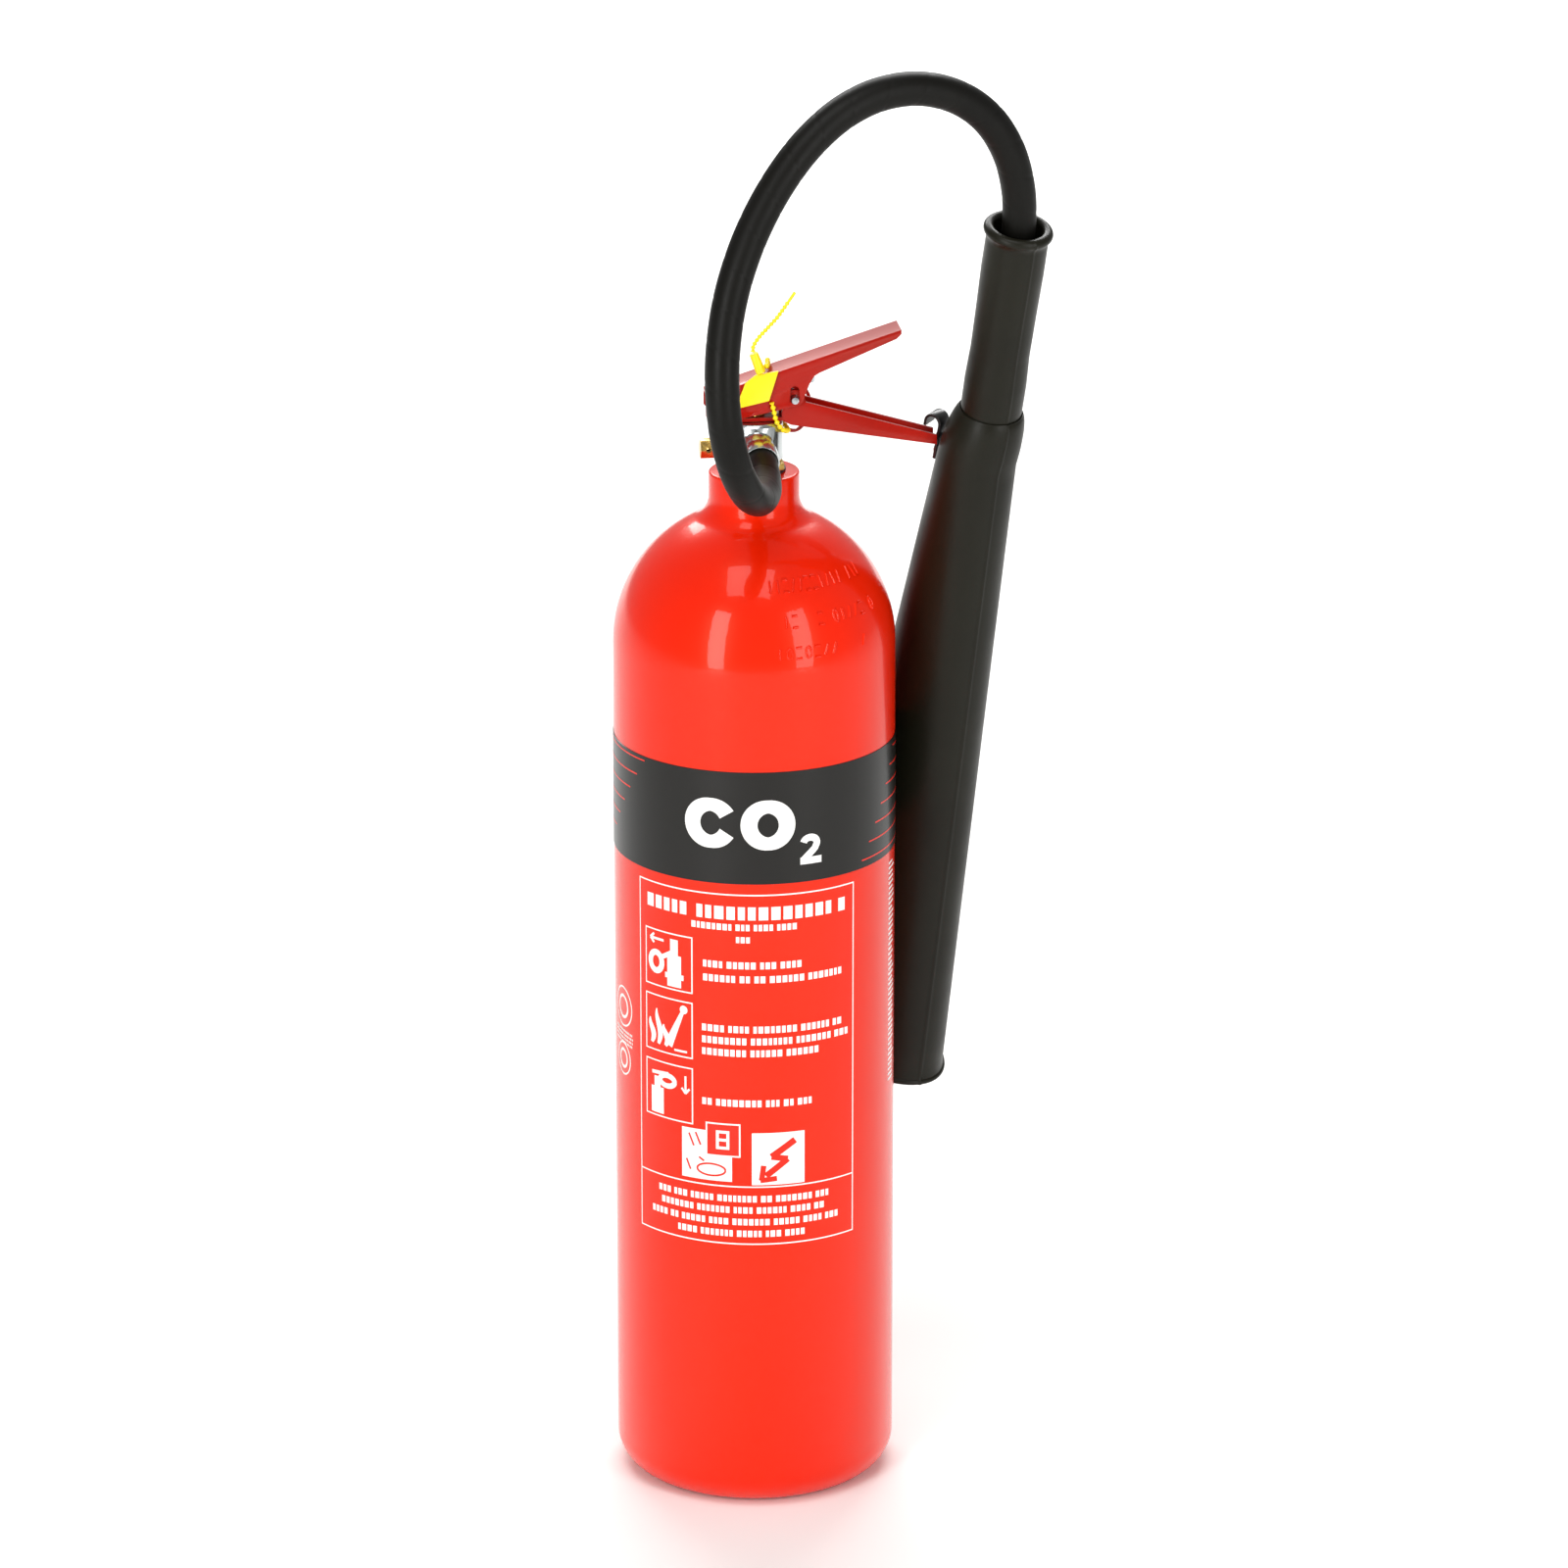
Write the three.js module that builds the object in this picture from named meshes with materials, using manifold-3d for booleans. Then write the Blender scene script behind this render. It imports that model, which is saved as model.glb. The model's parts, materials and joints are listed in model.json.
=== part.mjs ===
// A 5 kg carbon dioxide fire extinguisher: seamless aluminium cylinder, squeeze-grip valve,
// carrying handle, hose, and a discharge horn that hangs on the end of the handle.
// Millimetres, +Z up. The origin is the centre of the cylinder's foot.
// The levers point along +X and the valve's outlet points towards -Y.
import * as THREE from "three";
import { mergeVertices } from "three/addons/utils/BufferGeometryUtils.js";
import Module from "manifold-3d";

const wasm = await Module();
wasm.setup();

// ---- Driving dimensions ----
const GAP = 0.3; // clearance between neighbouring pieces

const BOTTLE_R = 76; // cylinder
const BOTTLE_WALL = 5.5;
const BOTTLE_FOOT_R = 18;
const SHOULDER_Z = 476; // centre of the round shoulder
const NECK_R = 24.3;
const NECK_TOP = 571;
const NECK_BORE_R = 13.4;
const NECK_FILLET_R = 15;

const BAND_BOTTOM = 363; // printed band and panel
const BAND_TOP = 426;
const PANEL_BOTTOM = 156;
const PANEL_TOP = 356;
const PANEL_HALF_ANGLE = 48;
const PANEL_FACING = -97; // degrees in plan, from +X
const FILM = 0.35;

const VALVE_R = 15.5; // valve
const VALVE_TOP = 599.5;
const STEM_R = 13;
const STEM_BOTTOM = 536;
const CHAMBER_R = 6.3;
const SEAT_Z = 566;
const SPINDLE_R = 3;
const GLAND_R = 5.3;
const OUTLET_Z = 591;
const OUTLET_TILT = 15; // degrees below the horizontal
const OUTLET_R = 9;
const OUTLET_END = 22;
const FERRULE_R = 10.2;
const FERRULE_END = 31;
const PLUG_Z = 584;
const PLUG_BOSS_END = 18.5;
const PLUG_END = 29;

const PIVOT = { x: -19, z: 609.5 }; // levers
const PIVOT_R = 2.5;
const LEVER_HALF = 10;
const LEVER_SHEET = 1.8;
const HANDLE_HALF = 7.6;
const HANDLE_SHEET = 2;
const HANDLE_END = 97.4;
const PIN = { x: 20.7, z: 611.9, r: 1.9 };
const PIN_TIP_Y = -12.6;
const EYE_Y = 20.8; // safety pin's eye and pull ring
const EYE_R = 4.6;
const EYE_WIRE_R = 1.3;
const RING_R = 11.9;
const RING_WIRE_R = 1.1;
const RING_TURN = 45;
const SLOT_RISE = 5; // how far the lever's slot reaches above the safety pin

const HOSE_R = 9; // hose
const GRIP_TOP = [134.1, -48.7, 713.7]; // horn's axis, from the grip's rim to the mouth
const MOUTH = [76.4, 88.5, 208.8];
const HORN_FACING = -52.3; // degrees in plan: the way the wide side's edge faces
const HORN_NECK_R = 21.4;
const HORN_NECK_Z = 384;
const HORN_TOP_Z = 411;
const HORN_MOUTH_R = 30.3; // across the flat sides
const HORN_MOUTH_EXTRA = 17.3; // how much wider it is the other way
const HORN_WALL = 2.2;
const GRIP_LENGTH = 526.4;
const HOOK_ANGLE = 192; // hook on the horn's neck, degrees from the facing side
const HOOK_SHIFT = 0;
const HOOK_WIDTH = 9;
const HOOK_SHEET = 1.5;
const HOOK_SPAN = 5.2; // outer radius of the bend
const HOOK_BEND_Z = 394.6;
const HOOK_LIP_Z = 391.5;
const HOOK_RIVETS = [379, 387.5];

// ---- Colours ----
const PAINT = { color: 0xe02408, roughness: 0.32, metalness: 0 };
const LEVER_PAINT = { color: 0xb80a06, roughness: 0.3, metalness: 0 };
const NICKEL = { color: 0xc8cdcd, roughness: 0.25, metalness: 1 };
const BRASS = { color: 0xd8b060, roughness: 0.3, metalness: 1 };
const STEEL = { color: 0xb8babc, roughness: 0.35, metalness: 1 };
const BLACK_RUBBER = { color: 0x1c1b18, roughness: 0.6, metalness: 0 };
const BLACK_PLASTIC = { color: 0x26261e, roughness: 0.42, metalness: 0 };
const BLACK_STEEL = { color: 0x1a1a1a, roughness: 0.4, metalness: 0.3 };
const YELLOW = { color: 0xf8e000, roughness: 0.45, metalness: 0 };
const WHITE_FILM = { color: 0xf2f0ea, roughness: 0.4, metalness: 0 };
const BLACK_FILM = { color: 0x201c18, roughness: 0.4, metalness: 0 };
const COPPER = { color: 0xb87048, roughness: 0.35, metalness: 1 };

// ---- Tools ----
const rad = THREE.MathUtils.degToRad;
const root = new THREE.Group();

function add(name, geometry, finish, parent = root) {
  const mesh = new THREE.Mesh(geometry, new THREE.MeshStandardMaterial(finish));
  mesh.name = name;
  parent.add(mesh);
  return mesh;
}

// A closed geometry as a solid that can be joined and cut.
function solid(geometry) {
  const bare = geometry.index ? geometry.toNonIndexed() : geometry.clone();
  bare.deleteAttribute("normal");
  bare.deleteAttribute("uv");
  const merged = mergeVertices(bare, 1e-3);
  return new wasm.Manifold(
    new wasm.Mesh({
      numProp: 3,
      vertProperties: merged.attributes.position.array,
      triVerts: new Uint32Array(merged.index.array),
    }),
  );
}

function geometryOf(body) {
  const made = body.getMesh();
  const geometry = new THREE.BufferGeometry();
  geometry.setAttribute("position", new THREE.BufferAttribute(made.vertProperties, 3));
  geometry.setIndex(new THREE.BufferAttribute(made.triVerts, 1));
  geometry.computeVertexNormals();
  return geometry;
}

// A profile of [radius, height] pairs turned about the Z axis. Outer side runs upwards.
function turned(profile, sides = 24) {
  const points = profile.map(([r, z]) => new THREE.Vector2(r, z));
  return new THREE.LatheGeometry(points, sides).rotateX(Math.PI / 2);
}

function ringProfile(inner, outer, low, high) {
  return [
    [inner, low],
    [outer, low],
    [outer, high],
    [inner, high],
    [inner, low],
  ];
}

const ring = (inner, outer, low, high, sides) => turned(ringProfile(inner, outer, low, high), sides);

// Points of an arc as [x, y] pairs, angles in degrees.
function arc(cx, cy, r, from, to, steps) {
  return Array.from({ length: steps + 1 }, (_, i) => {
    const a = rad(from + ((to - from) * i) / steps);
    return [cx + r * Math.cos(a), cy + r * Math.sin(a)];
  });
}

// A rod along Z between two heights.
function rod(r, low, high, sides = 20) {
  return new THREE.CylinderGeometry(r, r, high - low, sides)
    .rotateX(Math.PI / 2)
    .translate(0, 0, (low + high) / 2);
}

// A rod across the levers, along Y, at a place in the side view.
function crossRod(x, z, r, from, to, sides = 16) {
  return new THREE.CylinderGeometry(r, r, to - from, sides).translate(x, (from + to) / 2, z);
}

// A side-view outline of [x, z] pairs given a thickness across, from one Y to another.
function plate(outline, from, to) {
  const shape = new THREE.Shape(outline.map(([x, z]) => new THREE.Vector2(x, z)));
  return new THREE.ExtrudeGeometry(shape, { depth: to - from, bevelEnabled: false })
    .rotateX(Math.PI / 2)
    .translate(0, to, 0);
}

function join(pieces) {
  return pieces.map(solid).reduce((a, b) => a.add(b));
}

function cut(body, holes) {
  return holes.map(solid).reduce((a, b) => a.subtract(b), body);
}

// ---- Cylinder: one seamless shell, open at the neck ----
function shoulderProfile(r, neckR, fillet) {
  // The round shoulder meets the neck in a hollow fillet: both circles touch at one point.
  const reach = r + fillet;
  const out = neckR + fillet;
  const rise = Math.sqrt(reach * reach - out * out);
  const touch = THREE.MathUtils.radToDeg(Math.atan2(rise, out));
  return [
    ...arc(0, SHOULDER_Z, r, 0, touch, 10),
    ...arc(out, SHOULDER_Z + rise, fillet, 180 + touch, 180, 5).slice(1),
  ];
}

function bottle() {
  const inside = BOTTLE_R - BOTTLE_WALL;
  const outer = [
    [0, 0],
    ...arc(BOTTLE_R - BOTTLE_FOOT_R, BOTTLE_FOOT_R, BOTTLE_FOOT_R, -90, 0, 5),
    ...shoulderProfile(BOTTLE_R, NECK_R, NECK_FILLET_R),
    [NECK_R, NECK_TOP - 1],
    [NECK_R - 1, NECK_TOP],
  ];
  const inner = [
    [NECK_BORE_R, NECK_TOP],
    [NECK_BORE_R, SHOULDER_Z + 62],
    ...arc(0, SHOULDER_Z, inside, 62, 0, 6),
    ...arc(inside - 14, 8 + 14, 14, 0, -90, 3),
    [0, 8],
  ];
  add("cylinder_shell", turned([...outer, ...inner], 48), PAINT);
}

// ---- Printed film: a band all the way round and a panel on the front ----
function labels() {
  const inner = BOTTLE_R + GAP;
  const outer = inner + FILM;
  add("label_band", ring(inner, outer, BAND_BOTTOM, BAND_TOP, 48), BLACK_FILM);
  const span = [PANEL_FACING - PANEL_HALF_ANGLE, PANEL_FACING + PANEL_HALF_ANGLE];
  const outline = [...arc(0, 0, outer, ...span, 16), ...arc(0, 0, inner, ...span.reverse(), 16)];
  const shape = new THREE.Shape(outline.map(([x, y]) => new THREE.Vector2(x, y)));
  const panel = new THREE.ExtrudeGeometry(shape, {
    depth: PANEL_TOP - PANEL_BOTTOM,
    bevelEnabled: false,
  });
  add("label_panel", panel.translate(0, 0, PANEL_BOTTOM), WHITE_FILM);
}

// ---- Valve ----
// Turns a piece made along +Z so that it lies along the outlet, from the valve's axis.
function alongOutlet(geometry) {
  return geometry.rotateX(Math.PI / 2 + rad(OUTLET_TILT)).translate(0, 0, OUTLET_Z);
}

// Turns a piece made along +Z so that it points along -X at the burst disc's height.
function alongPlug(geometry) {
  return geometry.rotateY(-Math.PI / 2).translate(0, 0, PLUG_Z);
}

function valve() {
  add("neck_washer", ring(STEM_R + GAP, 17, NECK_TOP + GAP, NECK_TOP + 1.8, 32), BLACK_RUBBER);
  const collarLow = NECK_TOP + 2.1;
  const collar = cut(solid(rod(17.6, collarLow, collarLow + 3.6, 6)), [
    rod(STEM_R + GAP, collarLow - 1, collarLow + 6, 32),
  ]);
  add("neck_collar", geometryOf(collar), BRASS);

  const body = join([
    turned([
      [0, STEM_BOTTOM],
      [STEM_R, STEM_BOTTOM],
      [STEM_R, collarLow + 4.5],
      [VALVE_R - 0.8, collarLow + 4.5],
      [VALVE_R, collarLow + 5.3],
      [VALVE_R, VALVE_TOP - 1.5],
      [VALVE_R - 1.5, VALVE_TOP],
      [0, VALVE_TOP],
    ], 32),
    alongOutlet(rod(OUTLET_R, 6, OUTLET_END, 24)),
    alongPlug(rod(6.5, 6, PLUG_BOSS_END, 20)),
  ]);
  const drilled = cut(body, [
    rod(CHAMBER_R, STEM_BOTTOM - 1, SEAT_Z, 20),
    rod(SPINDLE_R + 0.6, SEAT_Z - 1, VALVE_TOP + 1, 16),
    rod(GLAND_R, VALVE_TOP - 5, VALVE_TOP + 1, 20),
    alongOutlet(rod(5, 0, OUTLET_END + 1, 16)),
    alongPlug(rod(2.5, 0, PLUG_BOSS_END + 1, 12)),
  ]);
  add("valve_body", geometryOf(drilled), NICKEL);

  add("dip_tube", ring(4.8, CHAMBER_R - GAP, 13, STEM_BOTTOM + 12, 16), STEEL);
}

function burstDisc() {
  const discLow = PLUG_BOSS_END + GAP;
  add("burst_disc", alongPlug(rod(4.8, discLow, discLow + 0.8, 16)), COPPER);
  const plugLow = discLow + 1.1;
  const plug = cut(solid(alongPlug(rod(5.6, plugLow, PLUG_END, 6))), [
    alongPlug(rod(2.6, plugLow - 1, PLUG_END - 2.5, 12)),
    crossRod(-PLUG_END + 4.2, PLUG_Z, 1.4, -8, 8, 12),
  ]);
  add("burst_plug", geometryOf(plug), BRASS);
}

// A coil spring along Z with a round wire.
class Helix extends THREE.Curve {
  constructor(r, low, high, turns) {
    super();
    Object.assign(this, { r, low, high, turns });
  }
  getPoint(t, target = new THREE.Vector3()) {
    const a = 2 * Math.PI * this.turns * t;
    const z = this.low + (this.high - this.low) * t;
    return target.set(this.r * Math.cos(a), this.r * Math.sin(a), z);
  }
}

function circleShape(r, sides) {
  return new THREE.Shape(arc(0, 0, r, 0, 360, sides).slice(0, -1).map(([x, y]) => new THREE.Vector2(x, y)));
}

function tube(curve, r, sides, steps) {
  return new THREE.ExtrudeGeometry(circleShape(r, sides), { steps, extrudePath: curve });
}

function spindle() {
  const leverUnderside = 620.8;
  const flange = SEAT_Z - 5;
  add("spindle", turned([
    [0, flange],
    [5.2, flange],
    [5.2, flange + 2.2],
    [SPINDLE_R, flange + 2.2],
    [SPINDLE_R, leverUnderside - 1],
    [SPINDLE_R - 1, leverUnderside],
    [0, leverUnderside],
  ], 16), STEEL);
  add("seat_disc", ring(SPINDLE_R + GAP, 5.2, flange + 2.5, SEAT_Z - GAP, 16), BLACK_RUBBER);
  const springWire = 0.5;
  const springLow = STEM_BOTTOM + 12 + GAP + springWire;
  const springHigh = flange - GAP - springWire;
  add("seat_spring", tube(new Helix(5.2, springLow, springHigh, 4), springWire, 6, 64), STEEL);
  add("spindle_seal", ring(SPINDLE_R + GAP, GLAND_R - GAP, VALVE_TOP - 4.6, VALVE_TOP - 2, 16), BLACK_RUBBER);
}

function glandNut() {
  const low = VALVE_TOP + GAP + HANDLE_SHEET + GAP;
  const nut = join([rod(6.4, low, low + 5, 6), rod(GLAND_R - GAP, VALVE_TOP - 1.6, low + 0.5, 20)]);
  const bored = cut(nut, [rod(SPINDLE_R + 0.5, VALVE_TOP - 3, low + 6, 16)]);
  add("gland_nut", geometryOf(bored), BRASS);
}

// ---- Carrying handle: a channel riveted under the operating lever ----
function handle() {
  const floor = VALVE_TOP + GAP;
  const floorTop = floor + HANDLE_SHEET;
  const web = [
    [-25, floor],
    [14.3, floor],
    [19, 597.4],
    [30, 595.4],
    [62, 589.9],
    [HANDLE_END, 583.7],
    [HANDLE_END, 583.7 + HANDLE_SHEET],
    [62, 589.9 + HANDLE_SHEET],
    [30, 595.4 + HANDLE_SHEET],
    [19.6, 597.5 + HANDLE_SHEET],
    [15, floorTop],
    [-25, floorTop],
  ];
  const side = [
    [14.3, floor],
    [19, 597.4],
    [30, 595.4],
    [62, 589.9],
    [HANDLE_END, 583.7],
    [HANDLE_END, 589],
    [62, 599.6],
    [27, 609.6],
    [25, 616.5],
    [16.5, 616.5],
    [14, 604],
  ];
  const ear = [
    [-25, floor],
    [-12, floor],
    [-12, 606],
    [-15.5, 614.4],
    [-21.5, 613.2],
    [-25, 609],
  ];
  const pieces = [plate(web, -HANDLE_HALF, HANDLE_HALF)];
  for (const outline of [side, ear]) {
    pieces.push(plate(outline, -HANDLE_HALF, -HANDLE_HALF + HANDLE_SHEET));
    pieces.push(plate(outline, HANDLE_HALF - HANDLE_SHEET, HANDLE_HALF));
  }
  const body = cut(join(pieces), [
    rod(GLAND_R, floor - 1, floorTop + 1, 20),
    crossRod(PIVOT.x, PIVOT.z, PIVOT_R + GAP, -9, 9),
    crossRod(PIN.x, PIN.z, PIN.r + GAP, -9, 9),
  ]);
  add("carry_handle", geometryOf(body), LEVER_PAINT);
}

// ---- Operating lever: an inverted channel that straddles the handle ----
function leverTop(x) {
  return 620.8 + ((x + 9.2) * (648.4 - 620.8)) / (77.8 + 9.2);
}

function lever() {
  const heel = -26;
  const tip = 77.8;
  const web = [
    [heel, leverTop(heel) - LEVER_SHEET],
    [tip - 1, leverTop(tip - 1) - LEVER_SHEET],
    [tip, leverTop(tip) - LEVER_SHEET],
    [tip, leverTop(tip)],
    [heel, leverTop(heel)],
  ];
  const side = [
    [heel, leverTop(heel)],
    [heel, 606],
    [-22.5, 602.3],
    [-17, 601.5],
    [-8.2, 602.3],
    [9.7, 605.8],
    [22.8, 608.8],
    [24.9, 610.1],
    [26.5, 614.9],
    [28.6, 620.2],
    [31.2, 624.5],
    [34, 626.2],
    [75.2, 643.4],
    [tip, 646],
    [tip, leverTop(tip)],
  ];
  const body = cut(
    join([
      plate(web, -LEVER_HALF, LEVER_HALF),
      plate(side, -LEVER_HALF, -LEVER_HALF + LEVER_SHEET),
      plate(side, LEVER_HALF - LEVER_SHEET, LEVER_HALF),
    ]),
    [
      crossRod(PIVOT.x, PIVOT.z, PIVOT_R + GAP, -12, 12),
      crossRod(PIN.x, PIN.z, PIN.r + 0.5, -12, 12),
      crossRod(PIN.x, PIN.z + SLOT_RISE, PIN.r + 0.5, -12, 12),
      plate([
        [PIN.x - PIN.r - 0.5, PIN.z],
        [PIN.x + PIN.r + 0.5, PIN.z],
        [PIN.x + PIN.r + 0.5, PIN.z + SLOT_RISE],
        [PIN.x - PIN.r - 0.5, PIN.z + SLOT_RISE],
      ], -12, 12),
    ],
  );
  add("operating_lever", geometryOf(body), LEVER_PAINT);
  const inside = LEVER_HALF - LEVER_SHEET - 0.2;
  add("lever_spacer", crossRod(29.6, 622.6, 2.3, -inside, inside), STEEL);

  const face = LEVER_HALF + GAP;
  const pivot = join([
    crossRod(PIVOT.x, PIVOT.z, PIVOT_R, -face - 0.5, face + 0.5),
    crossRod(PIVOT.x, PIVOT.z, 4.2, -face - 1.6, -face),
    crossRod(PIVOT.x, PIVOT.z, 4.2, face, face + 1.6),
  ]);
  add("lever_pivot_pin", geometryOf(pivot), STEEL);
}

// ---- Safety pin with its eye, and the pull ring that hangs in it ----
function safetyPin() {
  const eye = new THREE.TorusGeometry(EYE_R, EYE_WIRE_R, 8, 24).rotateX(Math.PI / 2);
  const shank = join([
    crossRod(PIN.x, PIN.z, PIN.r, PIN_TIP_Y, EYE_Y + 0.6),
    eye.translate(PIN.x + EYE_R, EYE_Y, PIN.z),
  ]);
  add("safety_pin", geometryOf(shank), STEEL);

  const rest = PIN.z - EYE_R + EYE_WIRE_R + RING_WIRE_R + GAP;
  const pull = new THREE.TorusGeometry(RING_R, RING_WIRE_R, 8, 40)
    .rotateX(Math.PI / 2)
    .rotateZ(rad(RING_TURN))
    .translate(PIN.x + EYE_R, EYE_Y, rest - RING_R);
  add("pin_ring", pull, LEVER_PAINT);
}

// ---- Tamper seal: tag and lock in front of the lever, beaded loop round both levers ----
function route(points) {
  return new THREE.CatmullRomCurve3(points.map((p) => new THREE.Vector3(...p)));
}

function seal() {
  const near = -LEVER_HALF - 0.6;
  const tag = [
    [-0.5, 626.7],
    [11.8, 628.6],
    [6.8, 612.2],
    [-8.9, 608.8],
    [-9.4, 613.5],
    [-5.8, 622.6],
  ];
  add("seal_tag", plate(tag, near - 1.6, near), YELLOW);
  const lock = new THREE.CylinderGeometry(2.4, 2.8, 11.5, 14).rotateX(Math.PI / 2);
  lock.rotateY(rad(-21)).translate(0.4, near - 1.2, 633.4);
  add("seal_lock", lock, YELLOW);
  const loop = [
    [8.2, near - 0.8, 611.2],
    [9.4, near - 1.2, 606],
    [10.8, near - 0.6, 600.5],
    [14, -11.2, 596],
    [17.2, -6, 593.8],
    [18, 0, 593.2],
    [17.2, 6, 594],
    [14, 11.4, 598.4],
    [12, 12.2, 606],
    [10, 12.4, 618],
    [9, 11.4, 627],
    [8.2, 7.4, 629.4],
    [7.4, 1, 629.2],
    [6.4, -5, 629.6],
    [5.2, near - 0.6, 631.6],
  ];
  add("seal_loop", tube(route(loop), 0.9, 8, 44), YELLOW);
  const tail = [
    [-1.9, near - 1.2, 639.8],
    [-1.6, near - 1.6, 643],
    [1.2, near - 2, 647.6],
    [5.8, near - 2, 652.6],
    [10.8, near - 2, 658],
    [15.4, near - 2, 664.4],
    [20.4, near - 2, 671.6],
  ];
  add("seal_tail", tube(route(tail), 0.9, 8, 20), YELLOW);
}

// ---- Hose: black rubber, from the outlet ferrule over to the horn's grip ----
const HOSE_ROUTE = [
  [0, -23.9, 584.6],
  [0, -33.4, 582.05],
  [-0.6, -50, 579.2],
  [-3.2, -69.6, 578.8],
  [-8.9, -91.4, 582],
  [-16.9, -110.5, 591.7],
  [-24.7, -123.6, 608.3],
  [-30.3, -129.8, 630.2],
  [-32.4, -130.5, 653.2],
  [-31.5, -128.1, 675.8],
  [-27.5, -123.9, 698.6],
  [-20.3, -118.6, 720.2],
  [-10.7, -113, 739.9],
  [1.6, -107, 758.5],
  [16.4, -100.8, 775],
  [34.4, -94, 788.3],
  [54.5, -87.1, 795.8],
  [76.5, -79.8, 796.5],
  [97.4, -72.7, 789.6],
  [114.3, -66.2, 776.3],
  [126.1, -60.1, 757.6],
  [132.5, -54.2, 735.9],
  [134.1, -48.7, 713.7],
  [131.8, -43.2, 693],
  [129.2, -37, 670.2],
  [126.5, -30.6, 646.8],
];

function hose() {
  add("hose_ferrule", alongOutlet(turned([
    [5, OUTLET_END + GAP],
    [FERRULE_R, OUTLET_END + GAP],
    [FERRULE_R, FERRULE_END],
    [HOSE_R + 0.35, FERRULE_END],
    [HOSE_R + 0.35, OUTLET_END + 2.2],
    [5, OUTLET_END + 2.2],
    [5, OUTLET_END + GAP],
  ], 24)), NICKEL);
  add("hose", tube(route(HOSE_ROUTE), HOSE_R, 12, 36), BLACK_RUBBER);
}

// ---- Discharge horn: its pieces share a frame with +Z up the axis from the mouth ----
function hornFrame() {
  const frame = new THREE.Group();
  const mouth = new THREE.Vector3(...MOUTH);
  const up = new THREE.Vector3(...GRIP_TOP).sub(mouth).normalize();
  const facing = new THREE.Vector3(Math.cos(rad(HORN_FACING)), Math.sin(rad(HORN_FACING)), 0);
  facing.addScaledVector(up, -facing.dot(up)).normalize();
  const across = new THREE.Vector3().crossVectors(up, facing);
  frame.quaternion.setFromRotationMatrix(new THREE.Matrix4().makeBasis(facing, across, up));
  frame.position.copy(mouth);
  root.add(frame);
  frame.updateMatrixWorld(true);
  return frame;
}

// Widens a turned piece along its local X by an amount that fades out towards the neck.
function flattened(geometry) {
  const place = geometry.attributes.position;
  for (let i = 0; i < place.count; i += 1) {
    const x = place.getX(i);
    const extra = HORN_MOUTH_EXTRA * Math.max(0, 1 - place.getZ(i) / HORN_NECK_Z);
    const r = Math.hypot(x, place.getY(i));
    if (r > 0) place.setX(i, x + (extra * x) / r);
  }
  return geometry;
}

function horn() {
  const frame = hornFrame();
  const lip = 1.5;
  const taper = (z) => HORN_MOUTH_R + ((HORN_NECK_R - HORN_MOUTH_R) * z) / HORN_NECK_Z;
  const stations = [8, 80, 160, 240, 320, HORN_NECK_Z];
  const throatZ = 400;
  const profile = [
    [HORN_MOUTH_R - HORN_WALL, 0],
    [HORN_MOUTH_R + lip, 0],
    [HORN_MOUTH_R + lip, 5],
    ...stations.map((z) => [taper(z), z]),
    [HORN_NECK_R, 398],
    [HORN_NECK_R - 1.6, 404],
    [HORN_NECK_R - 5, HORN_TOP_Z - 1.5],
    [HORN_NECK_R - 7, HORN_TOP_Z],
    [6.3, HORN_TOP_Z],
    [6.3, throatZ + 4],
    [HORN_NECK_R - HORN_WALL, throatZ - 4],
    ...stations.toReversed().map((z) => [taper(z) - HORN_WALL, z]),
    [HORN_MOUTH_R - HORN_WALL, 0],
  ];
  const shell = cut(solid(flattened(turned(profile, 40))), hookRivetHoles(1.8));
  add("horn", geometryOf(shell), BLACK_PLASTIC, frame);

  const gripLow = HORN_TOP_Z + GAP;
  add("horn_grip", turned([
    [9.9, gripLow],
    [14.4, gripLow],
    [14.6, 420],
    [15.4, 432],
    [16.4, 450],
    [16.9, 475],
    [16.5, 500],
    [16.4, 519],
    [17.6, 521.5],
    [17.6, 525],
    [16.8, GRIP_LENGTH],
    [14.2, GRIP_LENGTH],
    [13.2, 524],
    [12.4, 510],
    [11, 470],
    [10.2, 440],
    [9.9, gripLow],
  ], 28), BLACK_PLASTIC, frame);

  add("discharge_nozzle", turned([
    [2, 396],
    [4.5, 396],
    [6, 399],
    [6, HORN_TOP_Z + 1],
    [6, 436],
    [8.4, 437],
    [8.4, 456],
    [2, 456],
    [2, 396],
  ], 16), BRASS, frame);
  return frame;
}

// ---- Hook: a bent steel strip riveted to the horn's neck; its lip drops into the handle ----
// Turns a piece drawn in the side view so that it reaches out of the horn in the hook's direction.
function onHorn(geometry) {
  return geometry.translate(0, HOOK_SHIFT, 0).rotateZ(rad(HOOK_ANGLE));
}

function hookRivetHoles(r) {
  return HOOK_RIVETS.map((z) => onHorn(radialRod(r, 10, 40, z)));
}

// A rod along the hook's direction, between two distances from the horn's axis.
function radialRod(r, from, to, z) {
  return new THREE.CylinderGeometry(r, r, to - from, 12)
    .rotateZ(Math.PI / 2)
    .translate((from + to) / 2, 0, z);
}

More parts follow.
